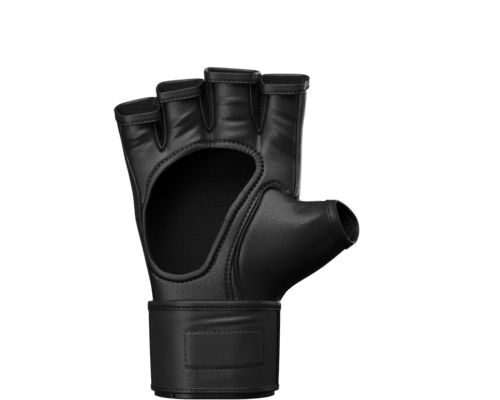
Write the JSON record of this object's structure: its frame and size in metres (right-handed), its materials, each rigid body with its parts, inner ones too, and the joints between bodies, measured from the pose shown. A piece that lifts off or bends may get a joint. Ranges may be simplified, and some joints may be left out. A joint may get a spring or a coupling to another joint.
{
  "type": "grappling glove",
  "caption": "Open-palm padded grappling glove for the right hand, with open finger sleeves, a thumb sleeve and a wrap-round wrist strap.",
  "frame": {"origin": "centre of the wrist opening, in the plane of the cuff's rim", "axes": "+Z from the wrist to the finger ends, +Y from the palm to the back of the hand, +X to the thumb side"},
  "size_m": [0.1537, 0.0624, 0.2177],
  "materials": {
    "leather": "smooth black leather, satin",
    "lining_fabric": "black knitted textile",
    "foam": "grey closed-cell foam",
    "hook_and_loop": "black hook and loop tape",
    "webbing": "black woven tape"
  },
  "bodies": {
    "hand": {"palm_panel": "leather", "palm_opening_binding": "leather", "little_side_gusset": "leather", "index_side_gusset": "leather", "back_shell": "leather", "knuckle_pad": "foam", "back_pad": "foam", "back_lining": "lining_fabric", "cuff_shell": "leather", "cuff_foam": "foam", "cuff_lining": "lining_fabric", "cuff_rim_binding": "leather", "cuff_front_loop_patch": "hook_and_loop", "cuff_back_loop_patch": "hook_and_loop", "strap_anchor": "leather", "thumb_base_panel": "leather"},
    "strap_front": {"strap_front_band": "leather", "strap_front_foam": "foam", "strap_front_bindings": "leather", "strap_front_hook_patch": "hook_and_loop"},
    "strap_back": {"strap_back_band": "leather", "strap_back_foam": "foam", "strap_back_bindings": "leather"},
    "strap_end": {"strap_end_band": "leather", "strap_end_foam": "foam", "strap_end_bindings": "leather", "strap_end_hook_patch": "hook_and_loop", "strap_pull_tab": "webbing"},
    "thumb_sleeve": {"thumb_sleeve_panel": "leather", "thumb_sleeve_lining": "lining_fabric", "thumb_pad": "foam", "thumb_hem": "leather"},
    "little_finger": {"little_front_panel": "leather", "little_back_cover": "leather", "little_pad": "foam", "little_gussets": "lining_fabric", "little_lining": "lining_fabric", "little_hem": "leather"},
    "ring_finger": {"ring_front_panel": "leather", "ring_back_cover": "leather", "ring_pad": "foam", "ring_gussets": "lining_fabric", "ring_lining": "lining_fabric", "ring_hem": "leather"},
    "middle_finger": {"middle_front_panel": "leather", "middle_back_cover": "leather", "middle_pad": "foam", "middle_gussets": "lining_fabric", "middle_lining": "lining_fabric", "middle_hem": "leather"},
    "index_finger": {"index_front_panel": "leather", "index_back_cover": "leather", "index_pad": "foam", "index_gussets": "lining_fabric", "index_lining": "lining_fabric", "index_hem": "leather"}
  },
  "joints": [
    {"name": "little_curl", "type": "hinge", "parent": "hand", "child": "little_finger", "pos_m": [-0.0478, -0.015, 0.1615], "axis": [0.9877, 0, 0.1564], "range_deg": [0, 80], "stiffness_Nm_per_rad": 0.04},
    {"name": "ring_curl", "type": "hinge", "parent": "hand", "child": "ring_finger", "pos_m": [-0.0189, -0.015, 0.1685], "axis": [0.9877, 0, 0.1564], "range_deg": [0, 80], "stiffness_Nm_per_rad": 0.04},
    {"name": "middle_curl", "type": "hinge", "parent": "hand", "child": "middle_finger", "pos_m": [0.0126, -0.015, 0.174], "axis": [0.9998, 0, 0.0175], "range_deg": [0, 80], "stiffness_Nm_per_rad": 0.04},
    {"name": "index_curl", "type": "hinge", "parent": "hand", "child": "index_finger", "pos_m": [0.0426, -0.015, 0.1735], "axis": [0.9976, 0, -0.0698], "range_deg": [0, 80], "stiffness_Nm_per_rad": 0.04},
    {"name": "thumb_curl", "type": "hinge", "parent": "hand", "child": "thumb_sleeve", "pos_m": [0.05826, -0.02544, 0.10586], "axis": [0.2924, 0, -0.9563], "range_deg": [0, 40], "stiffness_Nm_per_rad": 0.05},
    {"name": "strap_lift", "type": "hinge", "parent": "hand", "child": "strap_front", "pos_m": [0.042, 0, 0.0305], "axis": [0, 0, 1], "range_deg": [0, 25]},
    {"name": "strap_unwrap", "type": "hinge", "parent": "strap_front", "child": "strap_back", "pos_m": [-0.042, 0, 0.0305], "axis": [0, 0, 1], "range_deg": [0, 150]},
    {"name": "strap_peel", "type": "hinge", "parent": "strap_back", "child": "strap_end", "pos_m": [-0.002, 0.031, 0.0305], "axis": [0, 0, 1], "range_deg": [0, 120]}
  ],
  "couplings": [
    {"joint": "strap_lift", "follows": "strap_unwrap", "ratio": 0.16667}
  ]
}
